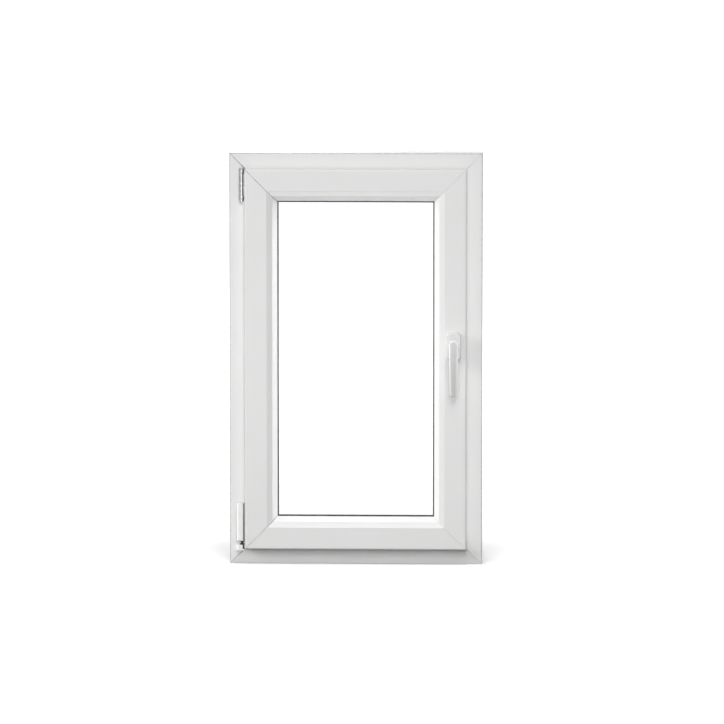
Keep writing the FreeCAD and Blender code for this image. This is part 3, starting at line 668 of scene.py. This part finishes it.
def zinc_plate():
    """Bright zinc on drawn steel: fine lines along the barrel, a cloudy bloom, and painted shade in the gap
    beside the sash.
    """
    material, tree, shader = new_material("zinc_plate")
    lines = use_group(tree, DRAWN_LINES, Stretch=ZINC_LINES)["Lines"]
    point = object_point(tree)
    cloud = ramp(tree, noise(tree, point, scale=160.0, detail=4.0), between=(0.35, 0.7), gives=(0.0, 1.0))
    sash_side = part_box("top_hinge_bracket")[1].x
    beside_sash = (sash_side - GAP_SHADE_START, sash_side - GAP_SHADE_FULL)
    # Painted shade in the gap beside the sash.
    gap_shade = ramp(tree, split_point(tree, point)["X"], between=beside_sash, gives=(0.0, 1.0))
    plated = mix_colour(tree, cloud, ZINC, ZINC_WORN)
    feed(tree, shader["Base Color"], mix_colour(tree, gap_shade, plated, HINGE_GAP_SHADE))
    shader["Metallic"].default_value = 1.0
    shader["Specular Tint"].default_value = ZINC_SHEEN
    feed(tree, shader["Roughness"], ramp(tree, lines, between=(0.2, 0.8), gives=(0.14, 0.26)))
    feed(tree, shader["Normal"], bump(tree, lines, strength=0.1, distance=0.0003))
    return material


hinge_steel = zinc_plate()
dress(TOP_HINGE, hinge_steel)

# The bottom hinge: a pivot block on the frame that carries the sash, and a band on the sash under a cover.
# Block and cover are white plastic mouldings and the band is plated steel; the pin is painted black as shade.
# A black washer lies round the pin's foot and a dark rubber strip faces the block beside the sash: both are
# painted shade.
HINGE_MOULDINGS = ["bottom_hinge_pivot", "bottom_hinge_cover"]
COVER_WHITE = (0.87, 0.87, 0.865, 1)
# Painted shade: the pin and the washer round its foot are black, and so is the rubber strip beside the sash.
PIN_SHADE_BLACK = (0.03, 0.03, 0.03, 1)
PIN_SHADE_PATCH = (0.075, 0.072, 0.068, 1)
WASHER_BORE = 0.0031
WASHER_RADIUS = 0.0056
WASHER_THICKNESS = 0.003
WASHER_EASE = 0.0005
WASHER_SIDES = 40
STRIP_WIDTH = 0.0036
STRIP_HEIGHT = 0.0096
STRIP_SUNK = 0.0008
STRIP_PROUD = 0.0006
STRIP_CORNER = 0.0008
STRIP_CORNER_STEPS = 4
STRIP_EASE = 0.0003
STRIP_EASE_STEPS = 2


def shade_black_metal():
    """Black metal with lighter, glossier patches: painted shade on the pin and its washer."""
    material, tree, shader = new_material("shade_black_metal")
    patches = noise(tree, object_point(tree), scale=220.0, detail=3.0)
    shade_patch = ramp(tree, patches, between=(0.4, 0.65), gives=(0.0, 1.0))
    feed(tree, shader["Base Color"], mix_colour(tree, shade_patch, PIN_SHADE_BLACK, PIN_SHADE_PATCH))
    shader["Metallic"].default_value = 0.6
    feed(tree, shader["Roughness"], ramp(tree, shade_patch, between=(0.0, 1.0), gives=(0.5, 0.28)))
    feed(tree, shader["Normal"], bump(tree, shade_patch, strength=0.1, distance=0.0002))
    return material


cover_plastic = grained_white("hinge_cover_plastic", COVER_WHITE, scale=1600.0, strength=0.12, roughness=0.34)
shaded_pin_finish = shade_black_metal()
dress(["bottom_hinge_band"], hinge_steel)
dress(["bottom_hinge_pin"], shaded_pin_finish)
dress(HINGE_MOULDINGS, cover_plastic)


def pivot_shade_washer():
    """A black turned ring that lies on the pivot block: painted shade round the pin's foot."""
    low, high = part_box("bottom_hinge_pin")
    axis = (low + high) / 2
    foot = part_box("bottom_hinge_pivot")[1].z
    top = foot + WASHER_THICKNESS
    eased = WASHER_RADIUS - WASHER_EASE
    profile = [(WASHER_BORE, foot), (eased, foot), (WASHER_RADIUS, foot + WASHER_EASE),
               (WASHER_RADIUS, top - WASHER_EASE), (eased, top), (WASHER_BORE, top)]
    outline = [(axis.x + radius, axis.y, z) for radius, z in profile]
    return turned("pivot_shade_washer", outline, True, axis, (0, 0, 1), WASHER_SIDES, shaded_pin_finish)


def pivot_shade_strip():
    """A dark rubber strip let into the block's face, at its upper corner beside the sash: painted shade of
    the gap there.
    """
    low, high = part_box("bottom_hinge_pivot")
    place = (high.x - STRIP_WIDTH / 2, low.y + STRIP_SUNK, high.z - STRIP_HEIGHT / 2)
    mesh = flat_oblong(STRIP_WIDTH, STRIP_HEIGHT, STRIP_CORNER, STRIP_CORNER_STEPS, place)
    thicken(mesh, STRIP_SUNK + STRIP_PROUD, STRIP_EASE, STRIP_EASE_STEPS)
    return finished("pivot_shade_strip", mesh, seal_rubber)


for piece, slot in ((pivot_shade_washer(), "pin_steel"), (pivot_shade_strip(), "gasket")):
    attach(piece, "window")

# The studio: a white room with a pale floor, a broad soft key above the camera, and lamps at side and back.
# Small lamps, each kept to a few pieces, model the beads, the handle and the hinges; one lights the floor.
# The camera is far off with a long lens, a little to the right of the window and above it.
PHOTO_WIDTH = 724
METRES_A_PIXEL = 0.002371
SASH_CENTRE_PIXEL = (355.5, 360.2)
CAMERA_DISTANCE = 14.0
CAMERA_AZIMUTH = math.radians(2.0)
CAMERA_ELEVATION = math.radians(6.0)
SENSOR = 36.0
ROOM_LIGHT = 0.12
FLOOR_BOUNCE = (0.18, 0.18, 0.18, 1)
FLOOR_SEEN = (0.52, 0.52, 0.52, 1)
FLOOR_RADIUS = 60.0
FLOOR_SIDES = 96
NEAR_FLOOR = (0.25, 1.1)
FAR_FLOOR = (1.1, 4.0)
WHITE = (1, 1, 1, 1)
sash_middle = Vector((0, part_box("sash_top_rail")[0].y, MIDDLE_HEIGHT))
backward = Vector((math.sin(CAMERA_AZIMUTH) * math.cos(CAMERA_ELEVATION),
                   -math.cos(CAMERA_AZIMUTH) * math.cos(CAMERA_ELEVATION), math.sin(CAMERA_ELEVATION)))
rightward = Vector((0, 0, 1)).cross(backward).normalized()
upward = backward.cross(rightward)
aim = (sash_middle + rightward * (PHOTO_WIDTH / 2 - SASH_CENTRE_PIXEL[0]) * METRES_A_PIXEL
       - upward * (PHOTO_WIDTH / 2 - SASH_CENTRE_PIXEL[1]) * METRES_A_PIXEL)
camera_data = bpy.data.cameras.new("camera")
camera_data.sensor_width = SENSOR
camera_data.lens = SENSOR * CAMERA_DISTANCE / (PHOTO_WIDTH * METRES_A_PIXEL)
camera = bpy.data.objects.new("camera", camera_data)
camera.location = aim + backward * CAMERA_DISTANCE
camera.rotation_euler = (-backward).to_track_quat("-Z", "Y").to_euler()
bpy.context.scene.collection.objects.link(camera)
bpy.context.scene.camera = camera


def gathered(name, pieces):
    """A collection of pieces that a lamp treats in its own way."""
    collection = bpy.data.collections.new(name)
    for piece in pieces:
        collection.objects.link(piece)
    return collection


def soft_light(name, place, size, watts, only=()):
    """An oblong lamp that faces the window and lights all of it, or only a few pieces."""
    data = bpy.data.lights.new(name, "AREA")
    data.shape = "RECTANGLE"
    data.size, data.size_y = size
    data.energy = watts
    light = bpy.data.objects.new(name, data)
    light.location = place
    light.rotation_euler = (sash_middle - Vector(place)).to_track_quat("-Z", "Y").to_euler()
    light.visible_camera = light.visible_transmission = False
    bpy.context.scene.collection.objects.link(light)
    if only:
        light.light_linking.receiver_collection = gathered(name + "_lights", only)
    return light


def spare(light, pieces):
    """Keeps a lamp's light off a few pieces."""
    spared = gathered(light.name + "_spares", pieces)
    for entry in spared.collection_objects:
        entry.light_linking.link_state = "EXCLUDE"
    light.light_linking.receiver_collection = spared


def packed(names):
    """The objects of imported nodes."""
    return [frame["nodes"][name] for name in names]


top_hinge = packed(TOP_HINGE)
beads = packed(BEAD_RAILS + BEAD_STILES)
handle = [lever, neck]
raised = packed(name for name in frame["nodes"] if name != "frame_sill") + [rosette]
soft_light("key", place=(0.75, -9.06, 5.74), size=(4.2, 7.8), watts=508)
left_front = soft_light("left_front", place=(-6.9, -3.2, 4.0), size=(2.66, 3.64), watts=312)
shades = gathered("shades_of_left_front", [rosette, neck] + packed(["sash_bottom_rail"]))
left_front.light_linking.blocker_collection = shades
spare(left_front, handle + top_hinge)
soft_light("back_key", place=(-1.6, 5.6, 3.6), size=(2.6, 2.6), watts=170)
soft_light("right_side", place=(5.5, 1.6, 2.8), size=(2.0, 2.4), watts=80)
soft_light("low_fill", place=(0.0, -1.6, 0.3), size=(1.6, 0.3), watts=2.6, only=raised)
soft_light("right_back", place=(1.7, 0.9, 0.7), size=(0.8, 1.4), watts=27, only=beads)
soft_light("left_back", place=(-1.7, 0.9, 0.7), size=(0.8, 1.4), watts=9, only=beads)
soft_light("under_front", place=(0.0, -1.0, 0.12), size=(0.8, 0.3), watts=2.4, only=packed(["bead_top"]))
soft_light("under_back", place=(0.0, 0.5, 0.05), size=(0.7, 0.4), watts=4.2, only=beads)
soft_light("left_kicker", place=(-2.0, -0.25, 0.5), size=(0.5, 1.0), watts=32, only=handle)
soft_light("right_kicker", place=(2.4, -0.13, 0.5), size=(0.5, 1.0), watts=18, only=handle)
soft_light("handle_top", place=(0.1, -1.1, 2.9), size=(0.8, 0.4), watts=24, only=handle)
soft_light("hinge_kicker", place=(-2.0, -0.4, 0.3), size=(0.4, 0.6), watts=12, only=packed(HINGE_MOULDINGS))
card = soft_light("reflection_card", place=(0.0, -3.0, 0.2), size=(2.0, 0.8), watts=24, only=top_hinge)
card.visible_diffuse = False


def white_for_eyes(tree):
    """1 for rays from the camera, through the glass and off gloss, 0 for the rays that light the object."""
    path = tree.nodes.new("ShaderNodeLightPath").outputs
    direct = compute(tree, "MAXIMUM", path["Is Camera Ray"], path["Is Transmission Ray"])
    return compute(tree, "MAXIMUM", direct, path["Is Glossy Ray"])


world = bpy.data.worlds.new("white_room")
world.use_nodes = True
room = world.node_tree
background = room.nodes["Background"].inputs
background["Color"].default_value = WHITE
level = compute(room, "MULTIPLY_ADD", white_for_eyes(room), 1 - ROOM_LIGHT, ROOM_LIGHT)
feed(room, background["Strength"], level)
bpy.context.scene.world = world


def floor_finish():
    """A matt floor that glows to white away from the window, and keeps the window's shadow near it."""
    material, tree, shader = new_material("pale_floor")
    seen = white_for_eyes(tree)
    feed(tree, shader["Base Color"], mix_colour(tree, seen, FLOOR_BOUNCE, FLOOR_SEEN))
    shader["Roughness"].default_value = 0.9
    shader["Specular IOR Level"].default_value = 0.0
    shader["Emission Color"].default_value = WHITE
    away = tree.nodes.new("ShaderNodeVectorMath")
    away.operation = "LENGTH"
    tree.links.new(object_point(tree), away.inputs[0])
    near = ramp(tree, away.outputs["Value"], between=NEAR_FLOOR, gives=(0.30, 0.45))
    far = ramp(tree, away.outputs["Value"], between=FAR_FLOOR, gives=(0.0, 0.55))
    feed(tree, shader["Emission Strength"], compute(tree, "MULTIPLY", seen, compute(tree, "ADD", near, far)))
    return material


def pale_floor():
    """A wide round floor under the frame's foot."""
    mesh = bmesh.new()
    bmesh.ops.create_circle(mesh, cap_ends=True, segments=FLOOR_SIDES, radius=FLOOR_RADIUS)
    data = bpy.data.meshes.new("floor")
    mesh.to_mesh(data)
    mesh.free()
    data.materials.append(floor_finish())
    floor = bpy.data.objects.new("floor", data)
    floor.location.z = FRAME_LOW.z
    bpy.context.scene.collection.objects.link(floor)
    return floor


soft_light("floor_light", place=(0.0, -2.2, 8.0), size=(1.4, 1.4), watts=470, only=[pale_floor()])
bpy.context.scene.view_settings.view_transform = "Standard"
